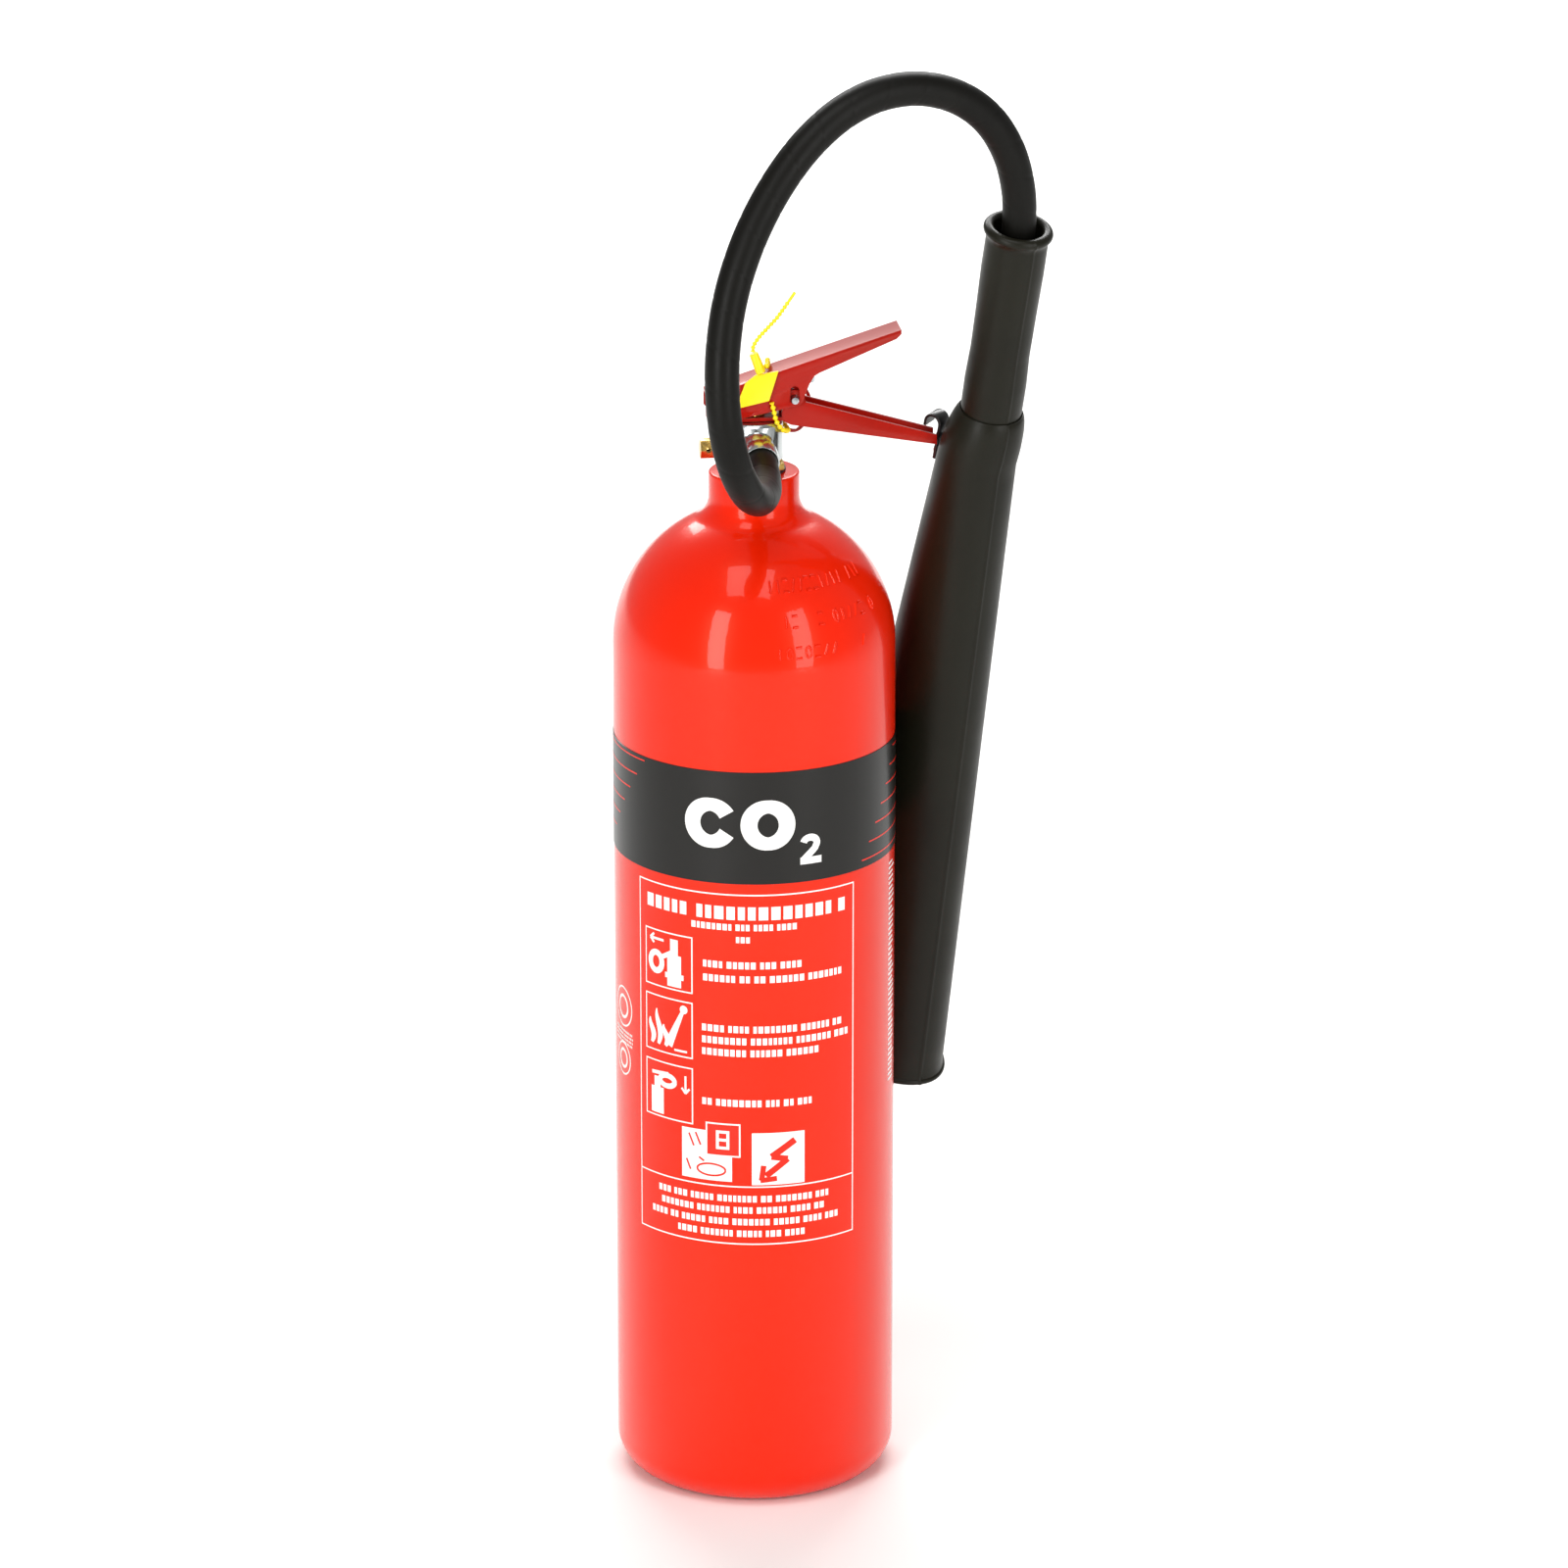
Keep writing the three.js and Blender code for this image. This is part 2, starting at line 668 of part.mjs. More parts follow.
function hook(frame) {
  const face = HORN_NECK_R + 1.1;
  const span = HOOK_SPAN;
  const centre = face + span;
  const outline = [
    [face, 374.5],
    [face, HOOK_BEND_Z],
    ...arc(centre, HOOK_BEND_Z, span, 180, 0, 10).slice(1),
    [face + 2 * span, HOOK_LIP_Z],
    [face + 2 * span - HOOK_SHEET, HOOK_LIP_Z],
    ...arc(centre, HOOK_BEND_Z, span - HOOK_SHEET, 0, 180, 10),
    [face + HOOK_SHEET, 374.5],
  ];
  const strip = solid(onHorn(plate(outline, -HOOK_WIDTH / 2, HOOK_WIDTH / 2)));
  add("horn_hook", geometryOf(cut(strip, hookRivetHoles(1.8))), BLACK_STEEL, frame);
  HOOK_RIVETS.forEach((z, i) => {
    const head = face + HOOK_SHEET + GAP;
    const rivet = join([
      onHorn(radialRod(1.5, 18.6, head + 0.5, z)),
      onHorn(radialRod(2.8, head, head + 1.1, z)),
    ]);
    add("hook_rivet_" + (i + 1), geometryOf(rivet), STEEL, frame);
  });
}

bottle();
labels();
valve();
burstDisc();
spindle();
glandNut();
handle();
lever();
safetyPin();
seal();
hose();
const hornGroup = horn();
hook(hornGroup);

export default root;
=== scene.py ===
import json
import math

import bmesh
import bpy
import numpy as np
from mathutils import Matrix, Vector

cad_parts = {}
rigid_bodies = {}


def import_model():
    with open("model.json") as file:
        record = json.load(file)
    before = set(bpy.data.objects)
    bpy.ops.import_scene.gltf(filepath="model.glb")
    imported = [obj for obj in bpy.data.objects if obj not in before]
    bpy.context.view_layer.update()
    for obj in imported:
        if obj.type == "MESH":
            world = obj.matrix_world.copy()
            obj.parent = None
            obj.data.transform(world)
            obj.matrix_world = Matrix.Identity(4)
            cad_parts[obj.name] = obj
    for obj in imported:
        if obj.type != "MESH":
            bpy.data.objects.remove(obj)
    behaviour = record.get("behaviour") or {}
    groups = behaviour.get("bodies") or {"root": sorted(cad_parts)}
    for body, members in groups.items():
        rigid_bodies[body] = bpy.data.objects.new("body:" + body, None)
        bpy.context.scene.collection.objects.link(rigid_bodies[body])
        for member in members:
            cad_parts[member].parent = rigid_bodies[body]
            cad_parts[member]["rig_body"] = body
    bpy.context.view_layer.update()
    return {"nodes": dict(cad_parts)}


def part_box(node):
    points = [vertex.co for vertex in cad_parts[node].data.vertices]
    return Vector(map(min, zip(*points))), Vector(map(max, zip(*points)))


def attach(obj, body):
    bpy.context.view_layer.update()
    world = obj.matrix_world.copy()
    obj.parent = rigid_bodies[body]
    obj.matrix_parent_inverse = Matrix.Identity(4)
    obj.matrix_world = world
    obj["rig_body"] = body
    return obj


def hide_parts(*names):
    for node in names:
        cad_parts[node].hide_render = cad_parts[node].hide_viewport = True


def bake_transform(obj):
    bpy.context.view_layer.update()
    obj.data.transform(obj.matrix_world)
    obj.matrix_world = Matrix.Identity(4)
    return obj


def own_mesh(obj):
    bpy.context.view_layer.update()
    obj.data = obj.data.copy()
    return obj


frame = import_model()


# ---- Studio ----
# A pale floor, two tall soft boxes in front with a gap between them, one overhead and a broad
# one far behind that lights the floor. A long lens looks slightly down on the extinguisher.
def colour(code):
    """An sRGB hex value as linear red, green, blue and alpha."""
    parts = [int(code[i:i + 2], 16) / 255 for i in (1, 3, 5)]
    linear = [p / 12.92 if p <= 0.04045 else ((p + 0.055) / 1.055) ** 2.4 for p in parts]
    return (*linear, 1.0)


def add(tree, kind, inputs=None, **settings):
    """Adds one node. settings are its own properties, and inputs maps its sockets to values or
    to the output sockets that feed them."""
    made = tree.nodes.new(kind)
    for name, value in settings.items():
        setattr(made, name, value)
    for name, value in (inputs or {}).items():
        socket = made.inputs[name]
        if isinstance(value, bpy.types.NodeSocket):
            tree.links.new(value, socket)
        else:
            socket.default_value = value
    return made


def finish_of(name, shader):
    """A material with one Principled shader, whose sockets are given by name."""
    material = bpy.data.materials.new(name)
    material.use_nodes = True
    tree = material.node_tree
    tree.nodes.clear()
    surface = add(tree, "ShaderNodeBsdfPrincipled", shader)
    add(tree, "ShaderNodeOutputMaterial", {"Surface": surface.outputs[0]})
    return material, tree, surface


camera_data = bpy.data.cameras.new("camera")
camera_data.lens = 179.28
camera_data.sensor_width = 36
camera_data.clip_end = 50
camera = bpy.data.objects.new("camera", camera_data)
camera.location = (-0.4875, -3.9702, 1.754)
camera.rotation_euler = (math.radians(71.22), 0, math.radians(-7.23))
bpy.context.scene.collection.objects.link(camera)
bpy.context.scene.camera = camera

FLOOR_HALF = 12
floor_mesh = bpy.data.meshes.new("studio_floor")
floor_mesh.from_pydata(
    [(-FLOOR_HALF, -FLOOR_HALF, 0), (FLOOR_HALF, -FLOOR_HALF, 0),
     (FLOOR_HALF, FLOOR_HALF, 0), (-FLOOR_HALF, FLOOR_HALF, 0)], [], [(0, 1, 2, 3)])
floor = bpy.data.objects.new("studio_floor", floor_mesh)
bpy.context.scene.collection.objects.link(floor)
paper, _, _ = finish_of("white_backdrop_paper", {"Base Color": colour("#FAFAF8"), "Roughness": 0.9})
floor_mesh.materials.append(paper)

SOFT_BOXES = [  # place, the point it faces, width, height, watts
    ((-1.7, -2.2, 1.2), (0, 0, 0.40), 0.7, 2.4, 42),
    ((1.6, -2.4, 1.2), (0, 0, 0.40), 0.8, 2.4, 32),
    ((-0.3, -1.2, 3.2), (0, 0, 0.4), 1.8, 1.4, 32),
    ((0.4, 6.0, 4.5), (0, 4.0, 0), 6.0, 3.0, 560),
]
for number, (place, target, width, height, watts) in enumerate(SOFT_BOXES):
    light = bpy.data.lights.new(f"soft_box_{number}", "AREA")
    light.shape = "RECTANGLE"
    light.size = width
    light.size_y = height
    light.energy = watts
    lamp = bpy.data.objects.new(light.name, light)
    lamp.location = place
    lamp.rotation_euler = (Vector(target) - Vector(place)).to_track_quat("-Z", "Y").to_euler()
    bpy.context.scene.collection.objects.link(lamp)

world = bpy.data.worlds.new("studio_white")
world.use_nodes = True
world.node_tree.nodes["Background"].inputs["Color"].default_value = colour("#FFFFFF")
world.node_tree.nodes["Background"].inputs["Strength"].default_value = 0.34
bpy.context.scene.world = world
# the default view transform greys strong reds and yellows, so the plain one is used
bpy.context.scene.view_settings.view_transform = "Standard"


# ---- Gas cylinder ----
# One seamless shell of aluminium alloy, extruded and spun shut at the shoulder, then painted in
# gloss red enamel. Its open neck takes the valve's thread.
MM = 0.001
AROUND = 192


def surface(name, points, material, rows_wrap=False, columns_wrap=False, sharp=35, **point_data):
    """A mesh on a grid of points, [row, column, xyz]: each cell is a four-sided face. Doubled
    points are merged, which closes seams and poles, and faces are turned outwards."""
    rows, columns = points.shape[:2]
    i, j = np.meshgrid(np.arange(rows - (not rows_wrap)),
                       np.arange(columns - (not columns_wrap)), indexing="ij")
    below, right = (i + 1) % rows, (j + 1) % columns
    quads = np.stack([i * columns + j, below * columns + j,
                      below * columns + right, i * columns + right], -1).reshape(-1, 4)
    mesh = bpy.data.meshes.new(name)
    mesh.from_pydata(points.reshape(-1, 3).tolist(), [], quads.tolist())
    for label, values in point_data.items():
        data = mesh.attributes.new(label, "FLOAT", "POINT")
        data.data.foreach_set("value", np.broadcast_to(values, (rows, columns)).ravel().astype(np.float32))
    work = bmesh.new()
    work.from_mesh(mesh)
    bmesh.ops.remove_doubles(work, verts=work.verts, dist=1e-6)
    bmesh.ops.dissolve_degenerate(work, edges=work.edges, dist=1e-7)
    bmesh.ops.recalc_face_normals(work, faces=work.faces)
    work.to_mesh(mesh)
    work.free()
    mesh.shade_smooth()
    mesh.set_sharp_from_angle(angle=math.radians(sharp))
    mesh.materials.append(material)
    piece = bpy.data.objects.new(name, mesh)
    bpy.context.scene.collection.objects.link(piece)
    return piece


def arc(cx, cy, r, start, end, steps):
    """Points on a circle between two angles in degrees, as [across, up] pairs."""
    a = np.radians(np.linspace(start, end, steps + 1))
    return np.stack([cx + r * np.cos(a), cy + r * np.sin(a)], -1)


def turned(profile, sides=AROUND):
    """A profile of [radius, height] pairs carried round the Z axis: x = r cos a, y = r sin a."""
    profile = np.asarray(profile, float)
    a = np.linspace(0, 2 * math.pi, sides, endpoint=False)
    r, z = profile[:, :1], profile[:, 1:]
    return np.stack([r * np.cos(a), r * np.sin(a), z + 0 * a], -1)


def enamel(name, code, roughness, peel_mm, peel_depth):
    """Gloss enamel: an even coloured film under a thin clear coat, with a sheen tinted warm to
    match the paint. Faint orange peel, with cells peel_mm wide, breaks up the reflections."""
    material, tree, surface_node = finish_of(name, {
        "Roughness": roughness, "IOR": 1.46, "Specular IOR Level": 0.35,
        "Specular Tint": colour("#FFB48C"), "Coat Weight": 0.34, "Coat Roughness": 0.03})
    place = add(tree, "ShaderNodeTexCoord")
    peel = add(tree, "ShaderNodeTexNoise", {
        "Vector": place.outputs["Object"], "Scale": 1 / (peel_mm * MM), "Detail": 1.5})
    cloud = add(tree, "ShaderNodeTexNoise", {
        "Vector": place.outputs["Object"], "Scale": 9.0, "Detail": 3.0})
    tint = add(tree, "ShaderNodeMix", {
        "Factor": cloud.outputs["Fac"], "A": colour(code[0]), "B": colour(code[1])}, data_type="RGBA")
    bump = add(tree, "ShaderNodeBump", {
        "Height": peel.outputs["Fac"], "Strength": 1.0, "Distance": peel_depth * MM})
    tree.links.new(tint.outputs["Result"], surface_node.inputs["Base Color"])
    tree.links.new(bump.outputs["Normal"], surface_node.inputs["Normal"])
    tree.links.new(bump.outputs["Normal"], surface_node.inputs["Coat Normal"])
    return material


red_enamel = enamel("red_gloss_enamel", ("#EC2400", "#E21A00"), 0.26, 2.6, 0.012)

shell_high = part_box("cylinder_shell")[1]
BOTTLE_R = shell_high.x
NECK_TOP = shell_high.z
NECK_R = 24.3 * MM
SHOULDER_Z = 476 * MM
FOOT_R = 18 * MM
FILLET_R = 15 * MM
WALL = 5.5 * MM
NECK_BORE_R = 13.4 * MM

reach = BOTTLE_R + FILLET_R
fillet_out = NECK_R + FILLET_R
fillet_rise = math.sqrt(reach ** 2 - fillet_out ** 2)
touch = math.degrees(math.atan2(fillet_rise, fillet_out))
inside_r = BOTTLE_R - WALL
shell_profile = np.concatenate([
    [[0, 0]],
    arc(BOTTLE_R - FOOT_R, FOOT_R, FOOT_R, -90, 0, 14),
    np.stack([np.full(20, BOTTLE_R), np.linspace(0.04, SHOULDER_Z - 0.01, 20)], -1),
    arc(0, SHOULDER_Z, BOTTLE_R, 0, touch, 44),
    arc(fillet_out, SHOULDER_Z + fillet_rise, FILLET_R, 180 + touch, 180, 14)[1:],
    arc(NECK_R - 1.2 * MM, NECK_TOP - 1.2 * MM, 1.2 * MM, 0, 90, 4),
    [[NECK_BORE_R, NECK_TOP], [NECK_BORE_R, SHOULDER_Z + 62 * MM]],
    arc(0, SHOULDER_Z, inside_r, 62, 0, 12),
    arc(inside_r - 14 * MM, 22 * MM, 14 * MM, 0, -90, 6),
    [[0, 8 * MM]],
])
bottle = surface("gas_cylinder", turned(shell_profile), red_enamel, columns_wrap=True)
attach(bottle, "bottle")
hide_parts("cylinder_shell")


# ---- Printed band ----
# A black film wrapped right round below the shoulder. It carries the gas's chemical formula in
# white and ends at each side in thin red speed lines.
FACING = -97  # plan angle of the print's middle, in degrees
FILM_LIFT = 0.32 * MM
INK_LIFT = 0.06 * MM


def printed(name, strokes, material, lift, crown=0.0):
    """Flat strokes laid on the cylinder. Each is a line of [across, up] points in mm and a
    width, carried as a ribbon: across becomes an angle about the Z axis, up stays a height. On
    the shoulder the radius follows the sphere, and crown arches the ribbon into a ridge."""
    share = np.linspace(0.5, -0.5, 5)
    arched = crown * (1 - (2 * share) ** 2)
    sheets = []
    for line, width, closed in strokes:
        line = np.asarray(line, float)
        ahead = np.roll(line, -1, 0) if closed else np.vstack([line[1:], 2 * line[-1] - line[-2]])
        behind = np.roll(line, 1, 0) if closed else np.vstack([2 * line[0] - line[1], line[:-1]])
        run = ahead - behind
        run /= np.linalg.norm(run, axis=1, keepdims=True)
        side = np.stack([-run[:, 1], run[:, 0]], -1)
        wide = np.broadcast_to(width, len(line))[:, None, None]
        flat = line[:, None] + side[:, None] * share[None, :, None] * wide
        if closed:
            flat = np.concatenate([flat, flat[:1]])
        sheets.append(flat)
    mesh = bpy.data.meshes.new(name)
    corners, faces, start = [], [], 0
    for flat in sheets:
        rows, columns = flat.shape[:2]
        angle = math.radians(FACING) + flat[..., 0] * MM / BOTTLE_R
        rise = np.maximum(flat[..., 1] * MM - SHOULDER_Z, 0)
        r = np.sqrt((BOTTLE_R + lift + arched) ** 2 - rise ** 2)
        at_place = np.stack([r * np.cos(angle), r * np.sin(angle), flat[..., 1] * MM], -1)
        corners.append(at_place.reshape(-1, 3))
        i, j = np.meshgrid(np.arange(rows - 1), np.arange(columns - 1), indexing="ij")
        at = start + i * columns + j
        faces.append(np.stack([at, at + columns, at + columns + 1, at + 1], -1).reshape(-1, 4))
        start += rows * columns
    corners, faces = np.concatenate(corners), np.concatenate(faces)
    a, b, d = (corners[faces[:, k]] for k in (0, 1, 3))
    outward = (np.cross(b - a, d - a)[:, :2] * a[:, :2]).sum(1) > 0
    faces[~outward] = faces[~outward][:, ::-1]
    mesh.from_pydata(corners.tolist(), [], faces.tolist())
    mesh.shade_smooth()
    mesh.materials.append(material)
    piece = bpy.data.objects.new(name, mesh)
    bpy.context.scene.collection.objects.link(piece)
    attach(piece, "bottle")
    return piece


def straight(x0, y0, x1, y1, step=2.5):
    """Evenly spaced points on a straight line."""
    count = max(2, int(math.hypot(x1 - x0, y1 - y0) / step) + 1)
    return np.stack([np.linspace(x0, x1, count), np.linspace(y0, y1, count)], -1)


def oval(cx, cy, rx, ry, start=0, end=360, steps=48):
    """Points on an oval: x = cx + rx cos a, y = cy + ry sin a."""
    a = np.radians(np.linspace(start, end, steps + 1))
    return np.stack([cx + rx * np.cos(a), cy + ry * np.sin(a)], -1)


def film(name, code, roughness):
    """Screen-printed vinyl ink: opaque and even, a little less glossy than the enamel. Its tooth
    of about 0.4 mm comes from the printing mesh, and is drawn coarser than it is."""
    material, tree, surface_node = finish_of(name, {
        "Roughness": roughness, "IOR": 1.5, "Specular IOR Level": 0.3,
        "Coat Weight": 0.12, "Coat Roughness": 0.05})
    place = add(tree, "ShaderNodeTexCoord")
    tooth = add(tree, "ShaderNodeTexNoise", {
        "Vector": place.outputs["Object"], "Scale": 1 / (0.4 * MM), "Detail": 1.0})
    shade = add(tree, "ShaderNodeMix", {
        "Factor": tooth.outputs["Fac"], "A": colour(code[0]), "B": colour(code[1])}, data_type="RGBA")
    tree.links.new(shade.outputs["Result"], surface_node.inputs["Base Color"])
    return material


black_film = film("black_printed_film", ("#0F0C08", "#0B0906"), 0.3)
white_ink = film("white_screen_ink", ("#FBFAF6", "#F4F2EE"), 0.38)
red_ink = film("red_screen_ink", ("#EC2400", "#E21A00"), 0.35)

band_low, band_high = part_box("label_band")
band_profile = np.array([
    [BOTTLE_R + 0.05 * MM, band_low.z], [BOTTLE_R + FILM_LIFT, band_low.z + 0.1 * MM],
    [BOTTLE_R + FILM_LIFT, band_high.z - 0.1 * MM], [BOTTLE_R + 0.05 * MM, band_high.z]])
band = surface("printed_band", turned(band_profile), black_film, rows_wrap=True, columns_wrap=True)
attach(band, "bottle")
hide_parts("label_band")

LETTER_MID = 396.4
LETTER_RX, LETTER_RY = 10.2, 10.4  # to the middle of the stroke
UPRIGHT, LEVEL = 9.0, 7.2  # stroke widths: heavy at the sides, lighter at top and bottom
C_GAP = 30  # half of the C's opening, in degrees


def swelling(start, end, steps):
    """A letter's stroke width round an oval: widest where the stroke is upright."""
    return LEVEL + (UPRIGHT - LEVEL) * np.abs(np.cos(np.radians(np.linspace(start, end, steps + 1))))


letter_c = oval(-23.7, LETTER_MID + 0.4, LETTER_RX, LETTER_RY, C_GAP, 360 - C_GAP, 60)
letter_o = oval(7.3, LETTER_MID, LETTER_RX, LETTER_RY)
numeral = np.concatenate([
    oval(30.4, 384.6, 3.9, 3.2, 168, -32, 16),
    straight(33.2, 381.6, 26.6, 375.4, 1.2),
])
formula = printed("band_formula", [
    (letter_c, swelling(C_GAP, 360 - C_GAP, 60), False),
    (letter_o[:-1], swelling(0, 360, 48)[:-1], True),
    (numeral, 3.9, False),
    (straight(24.8, 374.9, 37, 374.9, 1.5), 3.9, False),
], white_ink, FILM_LIFT + INK_LIFT)

RIGHT_LINES, LEFT_LINES = 7, 6
speed_lines = []
for n in range(RIGHT_LINES):
    rise = n * 9.1
    speed_lines.append((straight(65 + 6.1 * n, 367.4 + rise, 118, 367.4 + rise - 0.4 * n), 0.8, False))
for n in range(LEFT_LINES):
    drop = n * 9.25
    speed_lines.append((straight(-66.5 - 6.9 * n, 423.6 - drop, -118, 423.6 - drop), 0.8, False))
speed = printed("band_speed_lines", speed_lines, red_ink, FILM_LIFT + INK_LIFT)


# ---- Stamped marks ----
# Three rows struck into the shoulder before it was painted. Each stroke is a low rounded ridge
# of enamel, and the strokes are plain bars and rings that spell nothing.
STAMP_HIGH, STAMP_STEP, STAMP_WIDE = 5.6, 5.4, 1.5
stamp_rows = [(8, 88, 521), (16, 84, 504), (6, 80, 488)]  # left, right, foot in mm
stamping = np.random.default_rng(11)
stamps = []
for left, right, foot in stamp_rows:
    for x in np.arange(left, right, STAMP_STEP):
        middle, kind = x + STAMP_STEP / 2, stamping.integers(0, 5)
        if kind == 0:
            stamps.append((straight(middle, foot, middle, foot + STAMP_HIGH, 0.9), STAMP_WIDE, False))
        elif kind == 1:
            ring = oval(middle, foot + STAMP_HIGH / 2, 1.5, STAMP_HIGH / 2, steps=24)[:-1]
            stamps.append((ring, STAMP_WIDE, True))
        elif kind == 2:
            slant = straight(middle - 1.2, foot, middle + 1.2, foot + STAMP_HIGH, 0.9)
            stamps.append((slant, STAMP_WIDE, False))
        elif kind == 3:
            for high in (0, STAMP_HIGH):
                stamps.append((straight(middle - 1.6, foot + high, middle + 1.6, foot + high, 0.9),
                               STAMP_WIDE, False))
stamped = printed("shoulder_stamps", stamps, red_enamel, -0.02 * MM, crown=0.7 * MM)


# ---- Printed panel ----
# White ink screened straight on the enamel: a thin frame, a heading, three steps with small
# pictures, two class squares and a notes box. Rows of plain blocks stand for the wording.
PANEL_LEFT, PANEL_RIGHT = -71.5, 58.5
PANEL_TOP, PANEL_FOOT, NOTES_TOP = 356.8, 156.4, 189.6
RULE = 0.75
generator = np.random.default_rng(5)


def frame_lines(x0, y0, x1, y1, width):
    """The four sides of a rectangle, their ends overlapping by half a width."""
    h = width / 2
    return [(straight(x0 - h, y, x1 + h, y), width, False) for y in (y0, y1)] + [
        (straight(x, y0, x, y1), width, False) for x in (x0, x1)]


def words(x0, x1, y, height, letters=(2, 9)):
    """A line of plain blocks that fills a width: each stands for a letter, and after a few of
    them comes a wider space. It has the grey of print without saying anything."""
    blocks, x, left = [], x0, generator.integers(*letters)
    while x < x1 - height * 0.4:
        end = x + height * generator.uniform(0.45, 0.7)
        blocks.append((straight(x, y, end, y, height), height, False))
        left -= 1
        x = end + height * (0.22 if left else 0.62)
        left = left or generator.integers(*letters)
    return blocks


def disc(cx, cy, r):
    """A round dot, as a short ribbon whose width is a circle's chord."""
    a = np.linspace(-0.97, 0.97, 13)
    return np.stack([cx + r * a, np.full(13, cy)], -1), 2 * r * np.sqrt(1 - a ** 2), False


panel = frame_lines(PANEL_LEFT, PANEL_FOOT, PANEL_RIGHT, PANEL_TOP, RULE)
panel.append((straight(PANEL_LEFT, NOTES_TOP, PANEL_RIGHT, NOTES_TOP), RULE, False))
panel += words(-65, -37, 346.4, 7.4, (4, 6)) + words(-32, 56, 346.4, 7.4, (12, 14))
panel += words(-35, 25, 338.4, 3.6) + words(-10, 0, 331.4, 3.4, (2, 4))
TEXT_LINES = [  # left, right, height above the foot
    (-28.3, 26, 316.8), (-28.3, 49.6, 308.9), (-29, 54, 280.2), (-29, 54, 273.4),
    (-29, 37, 266.6), (-29, 34, 237.8)]
for left, right, height in TEXT_LINES:
    panel += words(left, right, height, 3.9)
for left, right, height in [(-57, 42, 182.6), (-55, 40, 176.0), (-62, 48, 169.2), (-44, 30, 162.4)]:
    panel += words(left, right, height, 3.7)

ICON = 31.6
for foot in (298.4, 261.0, 223.4):
    panel += frame_lines(-66.4, foot, -66.4 + ICON, foot + ICON, RULE)
# first picture: a valve head with an arrow that draws the pin out
panel += [(straight(-46, 300, -46, 318), 9, False), (straight(-46, 318, -46, 327), 5, False),
          (straight(-52, 306, -40, 306), 3, False), (straight(-62, 325, -53, 325), 1.4, False),
          (straight(-60, 327.6, -62.8, 325), 1.4, False), (straight(-60, 322.4, -62.8, 325), 1.4, False),
          (oval(-58.5, 312, 4.2, 5.2), 3.4, False), (straight(-55, 315, -48, 319), 2.6, False)]
# second picture: flames and a horn aimed at their foot
for x, tall in ((-62, 14), (-57, 20), (-52, 12)):
    flame = np.stack([x + 1.4 * np.sin(np.linspace(0, 5.2, 16)), np.linspace(265, 265 + tall, 16)], -1)
    panel.append((flame, 3.4 * np.sin(np.linspace(0.5, 3.0, 16)) + 0.3, False))
panel += [(straight(-50, 266, -41, 286), np.linspace(5.4, 2.2, 9), False),
          (disc(-40, 288, 2.4)), (straight(-46, 264, -38, 264), 1.2, False)]
# third picture: a hand pressing the levers of a bottle
panel += [(straight(-58, 225, -58, 240), 9, False), (straight(-58, 240, -58, 246), 4.5, False),
          (straight(-62, 248, -50, 249), 2, False), (oval(-51, 245, 5, 3), 3, False),
          (straight(-39, 250, -39, 240), 1.2, False), (straight(-41.4, 243, -39, 240), 1.2, False),
          (straight(-36.6, 243, -39, 240), 1.2, False)]
label_print = printed("panel_print", panel, white_ink, INK_LIFT)
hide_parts("label_panel")

# two class squares: white blocks with their small signs in red
blocks = [(straight(-41.3, 206.6, -12.4, 206.6), 28.6, False),
          (straight(-1.6, 205.8, 27.4, 205.8), 30, False)]
blocks += frame_lines(-26.6, 207.0, -8.2, 225.4, 0.9)
class_blocks = printed("class_blocks", blocks, white_ink, INK_LIFT)
signs = [(straight(-26.2, 216.2, -8.6, 216.2), 17.6, False),
         (straight(22, 216, 9, 207), 3.8, False), (straight(9, 207, 18, 205.4), 3.4, False),
         (straight(18, 205.4, 6, 196), 3.6, False), (straight(3, 193.4, 12, 194.4), 3.0, False),
         (straight(3.6, 193.4, 4.8, 202), 3.0, False), (oval(-24, 198.5, 8, 3.4), 1.1, False),
         (straight(-37, 218, -34, 211), 1.1, False), (straight(-33, 219, -30, 212), 1.1, False)]
signs += [(straight(-38.5, 203, -36, 197), 1.1, False), (straight(-31, 205, -28, 203), 1.1, False)]
sign_print = printed("class_signs", signs, red_ink, 2 * INK_LIFT)
class_mark = printed("class_mark", frame_lines(-20.4, 211.6, -14.6, 220.8, 1.6)
                     + [(straight(-20.4, 216.2, -14.6, 216.2), 1.6, False)], white_ink, 3 * INK_LIFT)

# side prints: a column of fine ticks on the right and plain round marks on the left
side_marks = []
for n in range(44):
    height = 356 - 2.9 * n
    side_marks.append((straight(96, height, 96 + generator.uniform(7, 12), height), 1.2, False))
for middle, radius in ((276, 11.0), (246, 9.0)):
    side_marks += [(oval(-92, middle, radius, radius)[:-1], 1.0, True),
                   (oval(-92, middle, radius * 0.55, radius * 0.55)[:-1], 1.6, True)]
for n in range(4):
    side_marks += words(-104, -80, 262 - 2.2 * n, 1.3)
side_print = printed("side_print", side_marks, white_ink, INK_LIFT)


